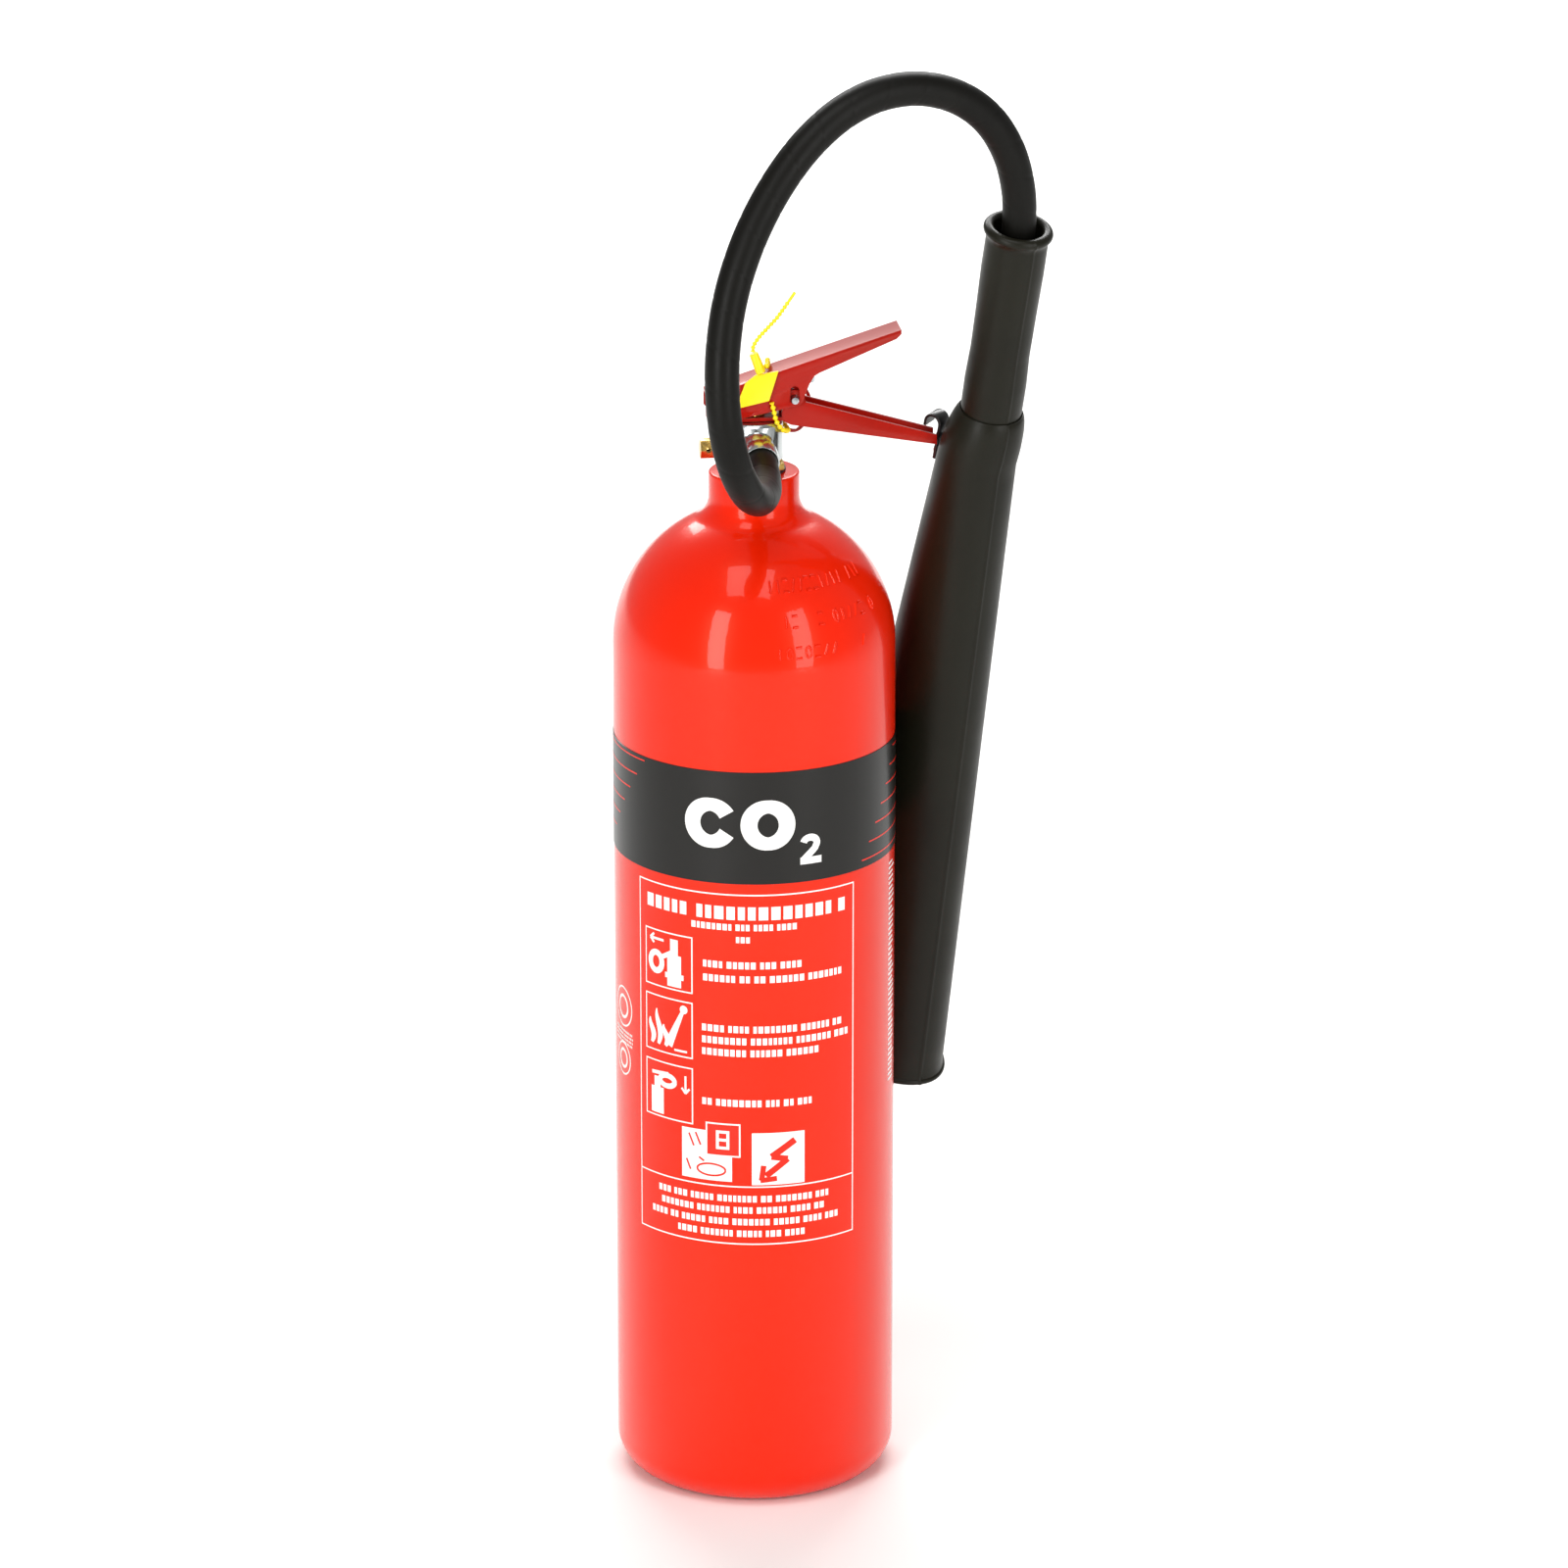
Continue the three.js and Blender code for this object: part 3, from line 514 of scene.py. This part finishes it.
# ---- Valve, neck collar and burst-disc plug ----
# Brass forgings screwed into the neck. The valve body is satin nickel plated, the collar under
# it and the plug on its left are bare brass. Their arrises are eased by about a third of a mm.
def eased(node, material, width, weight=None):
    """The CAD solid as a welded mesh, with its flat facets joined, its arrises rounded by a live
    bevel and its round parts shaded smooth. weight says how much of the width an edge gets."""
    mesh = frame["nodes"][node].data.copy()
    mesh.materials.clear()
    work = bmesh.new()
    work.from_mesh(mesh)
    bmesh.ops.remove_doubles(work, verts=work.verts, dist=2e-6)
    bmesh.ops.dissolve_limit(work, angle_limit=math.radians(0.8), verts=work.verts, edges=work.edges)
    if weight:
        layer = work.edges.layers.float.new("bevel_weight_edge")
        for edge in work.edges:
            if len(edge.link_faces) == 2 and edge.calc_face_angle(0) > math.radians(35):
                edge[layer] = weight(edge)
    work.to_mesh(mesh)
    work.free()
    mesh.shade_smooth()
    mesh.materials.append(material)
    piece = bpy.data.objects.new(node + "_finished", mesh)
    bpy.context.scene.collection.objects.link(piece)
    bevel = piece.modifiers.new("eased_arrises", "BEVEL")
    bevel.width = width * MM
    bevel.segments = 3
    bevel.limit_method = "WEIGHT" if weight else "ANGLE"
    bevel.angle_limit = math.radians(35)
    bevel.harden_normals = True
    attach(piece, frame["nodes"][node]["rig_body"])
    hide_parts(node)
    return piece


def metal(name, codes, roughness, grain_mm, depth):
    """Machined or plated metal: colour drifts slightly with tarnish, and fine tool marks round
    the vertical axis stretch the highlights."""
    material, tree, surface_node = finish_of(name, {"Metallic": 1.0})
    place = add(tree, "ShaderNodeTexCoord")
    squash = add(tree, "ShaderNodeMapping", {
        "Vector": place.outputs["Object"], "Scale": (0.12, 0.12, 1.0)})
    marks = add(tree, "ShaderNodeTexNoise", {
        "Vector": squash.outputs["Vector"], "Scale": 1 / (grain_mm * MM), "Detail": 2.0})
    tarnish = add(tree, "ShaderNodeTexNoise", {
        "Vector": place.outputs["Object"], "Scale": 120.0, "Detail": 4.0})
    tint = add(tree, "ShaderNodeMix", {
        "Factor": tarnish.outputs["Fac"], "A": colour(codes[0]), "B": colour(codes[1])}, data_type="RGBA")
    dull = add(tree, "ShaderNodeMapRange", {
        "Value": tarnish.outputs["Fac"], "To Min": roughness * 0.75, "To Max": roughness * 1.35})
    bump = add(tree, "ShaderNodeBump", {
        "Height": marks.outputs["Fac"], "Strength": 0.8, "Distance": depth * MM})
    tree.links.new(tint.outputs["Result"], surface_node.inputs["Base Color"])
    tree.links.new(dull.outputs["Result"], surface_node.inputs["Roughness"])
    tree.links.new(bump.outputs["Normal"], surface_node.inputs["Normal"])
    return material


nickel = metal("satin_nickel_plate", ("#D4D8D8", "#BEC4C6"), 0.2, 0.35, 0.01)
brass = metal("machined_brass", ("#E6C878", "#C99A48"), 0.24, 0.3, 0.012)
zinc_steel = metal("bright_zinc_plated_steel", ("#C9CCCF", "#A9AEB2"), 0.26, 0.4, 0.01)
drawn_aluminium = metal("drawn_aluminium", ("#C8CACC", "#B4B7BA"), 0.35, 0.5, 0.012)
copper = metal("rolled_copper_foil", ("#C9774E", "#A95C3A"), 0.3, 0.4, 0.008)


def moulded(name, codes, roughness, grain_mm, depth, shader=None):
    """Moulded rubber or plastic: a fine even grain from the mould, with soft patches where
    handling has polished it."""
    material, tree, surface_node = finish_of(name, {"IOR": 1.5, **(shader or {})})
    place = add(tree, "ShaderNodeTexCoord")
    grain = add(tree, "ShaderNodeTexNoise", {
        "Vector": place.outputs["Object"], "Scale": 1 / (grain_mm * MM), "Detail": 2.0})
    patches = add(tree, "ShaderNodeTexNoise", {
        "Vector": place.outputs["Object"], "Scale": 24.0, "Detail": 5.0, "Roughness": 0.62})
    tint = add(tree, "ShaderNodeMix", {
        "Factor": patches.outputs["Fac"], "A": colour(codes[0]), "B": colour(codes[1])}, data_type="RGBA")
    polish = add(tree, "ShaderNodeMapRange", {
        "Value": patches.outputs["Fac"], "From Min": 0.3, "From Max": 0.7,
        "To Min": roughness * 0.82, "To Max": roughness * 1.18})
    bump = add(tree, "ShaderNodeBump", {
        "Height": grain.outputs["Fac"], "Strength": 0.7, "Distance": depth * MM})
    tree.links.new(tint.outputs["Result"], surface_node.inputs["Base Color"])
    tree.links.new(polish.outputs["Result"], surface_node.inputs["Roughness"])
    tree.links.new(bump.outputs["Normal"], surface_node.inputs["Normal"])
    return material


seal_rubber = moulded("nitrile_rubber", ("#1A1A19", "#131312"), 0.55, 0.5, 0.02)
nylon = moulded("natural_nylon", ("#DAD6C6", "#CFCAB8"), 0.45, 0.4, 0.01)

eased("valve_body", nickel, 0.5)
eased("neck_collar", brass, 0.4)
eased("neck_washer", seal_rubber, 0.2)
eased("burst_plug", brass, 0.4)
eased("gland_nut", brass, 0.4)
eased("spindle", zinc_steel, 0.3)


# ---- Pieces inside the valve and cylinder ----
# Dip tube, seat disc, its spring, the spindle's seal and the burst disc. They are plain turned
# or wound parts that only show when the valve is taken apart. The spring gets a copy of its own,
# because it shortens.
for node, material in (("dip_tube", drawn_aluminium), ("seat_disc", nylon),
                       ("spindle_seal", seal_rubber), ("burst_disc", copper)):
    mesh = frame["nodes"][node].data
    mesh.materials.clear()
    mesh.materials.append(material)

# The spring stands on the valve's floor and shortens as the spindle comes down on it.
spring_mesh = frame["nodes"]["seat_spring"].data.copy()
spring_mesh.materials.clear()
coil = bmesh.new()
coil.from_mesh(spring_mesh)
bmesh.ops.remove_doubles(coil, verts=coil.verts, dist=2e-6)
coil.to_mesh(spring_mesh)
coil.free()
spring_mesh.shade_smooth()
spring_mesh.materials.append(zinc_steel)
spring = bpy.data.objects.new("seat_spring_finished", spring_mesh)
bpy.context.scene.collection.objects.link(spring)
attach(spring, "bottle")
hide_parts("seat_spring")
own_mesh(spring)


# ---- Carrying handle and operating lever ----
# Two channels pressed from 2 mm steel sheet and powder coated in a deeper red than the cylinder.
# The lever straddles the handle and turns on a riveted pin at the back.
def along_bend(outward_z, half):
    """Gives a pressed channel's two long bends the full rounding, and its cut edges a quarter."""
    def weight(edge):
        """One where the flat web meets a side, and a quarter at every other edge."""
        faces = edge.link_faces
        webs = [f for f in faces if f.normal.z * outward_z > 0.5
                and max(v.co.y for v in f.verts) > half * 0.9 and min(v.co.y for v in f.verts) < -half * 0.9]
        sides = [f for f in faces if abs(f.normal.y) > 0.9]
        return 1.0 if webs and sides else 0.25
    return weight


lever_red = enamel("deep_red_powder_coat", ("#AE0A02", "#9C0500"), 0.34, 1.4, 0.02)
lever_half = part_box("operating_lever")[1].y
handle_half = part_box("carry_handle")[1].y
eased("operating_lever", lever_red, 1.7, weight=along_bend(1, lever_half))
eased("carry_handle", lever_red, 1.9, weight=along_bend(-1, handle_half))
eased("lever_spacer", zinc_steel, 0.4)
eased("lever_pivot_pin", zinc_steel, 0.7)


# ---- Safety pin and pull ring ----
# A zinc-plated steel pin through both levers, with a wire eye at the back that holds a red
# coated pull ring.
eased("safety_pin", zinc_steel, 0.5)
eased("pin_ring", lever_red, 0.1)


# ---- Tamper seal ----
# One yellow polypropylene moulding: a flat tag and a lock barrel in front of the lever, and a
# thin strand that is beaded where it grips, looped round both levers and pulled through the lock.
seal_yellow = moulded("yellow_polypropylene", ("#FFE606", "#FFD800"), 0.36, 0.6, 0.01,
                      {"Subsurface Weight": 0.12, "Subsurface Radius": (0.002, 0.0015, 0.0003)})
eased("seal_tag", seal_yellow, 0.45)
eased("seal_lock", seal_yellow, 0.5)


def smooth_line(points, steps):
    """A Catmull-Rom curve through points: each stretch is the cubic whose slope at a point is
    half the step between that point's two neighbours. Returned evenly spaced by length."""
    p = np.vstack([2 * points[0] - points[1], points, 2 * points[-1] - points[-2]])
    t = np.linspace(0, 1, 24, endpoint=False)[None, :, None]
    a, b, c, d = p[:-3, None], p[1:-2, None], p[2:-1, None], p[3:, None]
    dense = 0.5 * (2 * b + (c - a) * t + (2 * a - 5 * b + 4 * c - d) * t ** 2
                   + (3 * b - a - 3 * c + d) * t ** 3)
    dense = np.vstack([dense.reshape(-1, 3), points[-1:]])
    gone = np.concatenate([[0], np.cumsum(np.linalg.norm(np.diff(dense, axis=0), axis=1))])
    even = np.linspace(0, gone[-1], steps)
    return np.stack([np.interp(even, gone, dense[:, k]) for k in range(3)], -1), even


def tube(line, radius, sides):
    """Circles carried along a line without twisting: each stands square to the line, and radius
    is one value, or a value for each point and side. Both ends close to a point."""
    run = np.gradient(line, axis=0)
    run /= np.linalg.norm(run, axis=1, keepdims=True)
    side = np.cross(run[0], [0.3, 0.2, 1.0])
    sides_found = []
    for direction in run:
        side = side - direction * (side @ direction)
        side /= np.linalg.norm(side)
        sides_found.append(side)
    across = np.array(sides_found)
    up = np.cross(run, across)
    a = np.linspace(0, 2 * math.pi, sides, endpoint=False)
    r = np.broadcast_to(radius, (len(line), sides))[..., None]
    cos, sin = np.cos(a)[None, :, None], np.sin(a)[None, :, None]
    body = line[:, None] + r * (across[:, None] * cos + up[:, None] * sin)
    start, end = (np.broadcast_to(line[k], (1, sides, 3)) for k in (0, -1))
    return np.concatenate([start, body, end])


SEAL_Y = -10.6  # the seal lies just in front of the lever, in mm
STRAND_R = 0.6
loop_points = np.array([
    [8.2, SEAL_Y - 0.8, 611.2], [9.4, SEAL_Y - 1.2, 606], [10.8, SEAL_Y - 0.6, 600.5], [14, -11.2, 596],
    [17.2, -6, 593.8], [18, 0, 593.2], [17.2, 6, 594], [14, 11.4, 598.4], [12, 12.2, 606], [10, 12.4, 618],
    [9, 11.4, 627], [8.2, 7.4, 629.4], [7.4, 1, 629.2], [6.4, -5, 629.6], [5.2, SEAL_Y - 0.6, 631.6]]) * MM
tail_points = np.array([
    [-1.9, SEAL_Y - 1.2, 639.8], [-1.6, SEAL_Y - 1.6, 643], [1.2, SEAL_Y - 2, 647.6],
    [5.8, SEAL_Y - 2, 652.6],
    [10.8, SEAL_Y - 2, 658], [15.4, SEAL_Y - 2, 664.4], [20.4, SEAL_Y - 2, 671.6]]) * MM
for name, node, points, bead_r, pitch, beaded_to in (  # bead sizes in mm
        ("seal_loop_strand", "seal_loop", loop_points, 1.4, 2.9, 1.0),
        ("seal_tail_strand", "seal_tail", tail_points, 1.25, 2.3, 0.85)):
    line, gone = smooth_line(points, 420 if node == "seal_loop" else 200)
    bead = np.abs(np.cos(math.pi * gone / (pitch * MM))) ** 1.2
    bead[gone > beaded_to * gone[-1]] = 0.35
    radius = (STRAND_R + (bead_r - STRAND_R) * bead) * MM
    strand = surface(name, tube(line, radius[:, None], 14), seal_yellow, columns_wrap=True, sharp=80)
    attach(strand, "bottle")
    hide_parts(node)


# ---- Hose and its ferrule ----
# Stiff 18 mm high-pressure hose of black rubber over wire braid, wrap cured so that a faint
# spiral of tape edges shows. It leaves a crimped ferrule on the valve and runs into the grip.
HOSE_R = 9 * MM
TAPE_PITCH = 21 * MM
hose_route = np.array([
    [0, -23.9, 584.6], [0, -33.4, 582.05], [-0.6, -50, 579.2], [-3.2, -69.6, 578.8], [-8.9, -91.4, 582],
    [-16.9, -110.5, 591.7], [-24.7, -123.6, 608.3], [-30.3, -129.8, 630.2], [-32.4, -130.5, 653.2],
    [-31.5, -128.1, 675.8], [-27.5, -123.9, 698.6], [-20.3, -118.6, 720.2], [-10.7, -113, 739.9],
    [1.6, -107, 758.5], [16.4, -100.8, 775], [34.4, -94, 788.3], [54.5, -87.1, 795.8], [76.5, -79.8, 796.5],
    [97.4, -72.7, 789.6], [114.3, -66.2, 776.3], [126.1, -60.1, 757.6], [132.5, -54.2, 735.9],
    [134.1, -48.7, 713.7], [131.8, -43.2, 693], [129.2, -37, 670.2], [126.5, -30.6, 646.8]]) * MM
HOSE_STEPS, HOSE_SIDES = 900, 40
hose_line, hose_gone = smooth_line(hose_route, HOSE_STEPS)
turn = np.linspace(0, 1, HOSE_SIDES, endpoint=False)
from_edge = (hose_gone[:, None] / TAPE_PITCH + turn[None] + 0.5) % 1 - 0.5
tape_groove = np.exp(-(from_edge * TAPE_PITCH / (0.9 * MM)) ** 2)
hose_rubber = moulded("wrap_cured_rubber", ("#100F0B", "#0B0A08"), 0.48, 0.35, 0.03,
                      {"Specular IOR Level": 0.15})
hose = surface("discharge_hose", tube(hose_line, HOSE_R - 0.14 * MM * tape_groove, HOSE_SIDES),
               hose_rubber, columns_wrap=True, sharp=60)
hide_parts("hose")
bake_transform(hose)
eased("hose_ferrule", nickel, 0.35)


# ---- Discharge horn ----
# A long tapered funnel of satin black polyethylene, oval at its rolled mouth and round at the
# neck, moulded in halves so that a fine seam runs down both edges.
grip_top = np.array([134.1, -48.7, 713.7]) * MM
mouth = np.array([76.4, 88.5, 208.8]) * MM
HORN_FACING = math.radians(-52.3)
horn_up = (grip_top - mouth) / np.linalg.norm(grip_top - mouth)
horn_wide = np.array([math.cos(HORN_FACING), math.sin(HORN_FACING), 0])
horn_wide -= horn_up * (horn_wide @ horn_up)
horn_wide /= np.linalg.norm(horn_wide)
horn_across = np.cross(horn_up, horn_wide)
NECK_Z = 384
HORN_R, HORN_NECK_R, HORN_EXTRA, HORN_WALL = 30.3, 21.4, 17.3, 2.2
LIP_R = 1.7  # the rolled mouth
GRIP_LEAN = 3.0  # how far the grip's foot stands off the horn's axis, in mm
LEAN_Z = 413
GRIP_END_Z = 530
SEAM_TURN = math.radians(-15)
LEAN_WAY = np.array([0.992, -0.125, 0])


def on_horn(profile, sides, seam=0.0, widen=HORN_EXTRA):
    """A profile of [radius, height] in mm round the horn's own axis. Its wide way is stretched
    by an amount that fades to nothing at the neck, each seam is a narrow ridge, and the whole
    drifts sideways over the shoulder and back again up the grip."""
    r, z = np.asarray(profile, float).T[..., None]
    a = np.linspace(0, 2 * math.pi, sides, endpoint=False)
    off_seam = np.abs((a - SEAM_TURN + math.pi / 2) % math.pi - math.pi / 2) * np.maximum(r, 1)
    r = r + seam * np.exp(-(off_seam / 0.7) ** 2)
    extra = widen * np.clip(1 - z / NECK_Z, 0, None)
    wide = (r + np.where(r > 0.01, extra, 0)) * np.cos(a)
    across = r * np.sin(a)
    high = z + 0 * a
    drift = GRIP_LEAN * np.interp(high, [NECK_Z, 400, LEAN_Z, GRIP_END_Z], [0, 0.5, 1, 0])
    place = wide[..., None] * horn_wide + across[..., None] * horn_across + high[..., None] * horn_up
    return mouth + (place + drift[..., None] * LEAN_WAY) * MM


horn_black = moulded("black_moulded_polyethylene", ("#1B1A10", "#13120B"), 0.4, 0.45, 0.035,
                     {"Specular IOR Level": 0.19})


def taper(z):
    """The horn's radius across its narrow way: it falls evenly from the mouth to the neck."""
    return HORN_R + (HORN_NECK_R - HORN_R) * z / NECK_Z


outer_z = np.concatenate([np.linspace(7.5, NECK_Z, 60), [388]])
horn_outer = np.stack([taper(np.minimum(outer_z, NECK_Z)), outer_z], -1)
horn_profile = np.concatenate([
    [[HORN_R - HORN_WALL, 0.6]],
    arc(HORN_R - 0.1, 2.6, LIP_R, -110, 70, 14),
    horn_outer,
    arc(0, 0, 1, 4, 78, 14) * [HORN_NECK_R - 16.2, 26] + [16.2, 388],
    [[17.1, 414.0], [16.6, 413.2], [14.4, 411], [6.3, 411], [6.3, 404],
     [HORN_NECK_R - HORN_WALL, 394]],
    np.stack([taper(outer_z[:60]) - HORN_WALL, outer_z[:60]], -1)[::-1],
])
horn = surface("discharge_horn", on_horn(horn_profile, 240, 0.5), horn_black,
               rows_wrap=True, columns_wrap=True, sharp=50)
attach(horn, "horn")
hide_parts("horn")


# ---- Horn grip ----
# A soft sleeve pushed over the end of the hose, full at its rim and at its foot, and slightly
# waisted between them. A fine moulding seam runs down both edges.
grip_z = np.linspace(411.3, 519, 70)
grip_r = np.interp(grip_z, [411.3, 420, 432, 450, 475, 500, 519], [16.4, 16.5, 16.6, 15.9, 16.2, 16.7, 16.6])
grip_profile = np.concatenate([
    [[9.9, 411.3]],
    np.stack([grip_r, grip_z], -1),
    arc(15.7, 523.4, 2.9, -50, 130, 16),
    [[13.2, 524], [12.4, 510], [11, 470], [10.2, 440]],
])
grip = surface("horn_grip_sleeve", on_horn(grip_profile, 192, 0.4, 0), horn_black,
               rows_wrap=True, columns_wrap=True, sharp=50)
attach(grip, "horn")
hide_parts("horn_grip")

eased("discharge_nozzle", brass, 0.4)


# ---- Horn hook ----
# A strip of black spring steel bent over at its top and riveted to the horn's neck. It hangs
# the horn on the end wall of the carrying handle.
black_steel = moulded("black_painted_steel", ("#1B1B1B", "#262626"), 0.34, 1.2, 0.015)
eased("horn_hook", black_steel, 0.35)
eased("hook_rivet_1", zinc_steel, 0.3)
eased("hook_rivet_2", zinc_steel, 0.3)


bpy.context.view_layer.update()
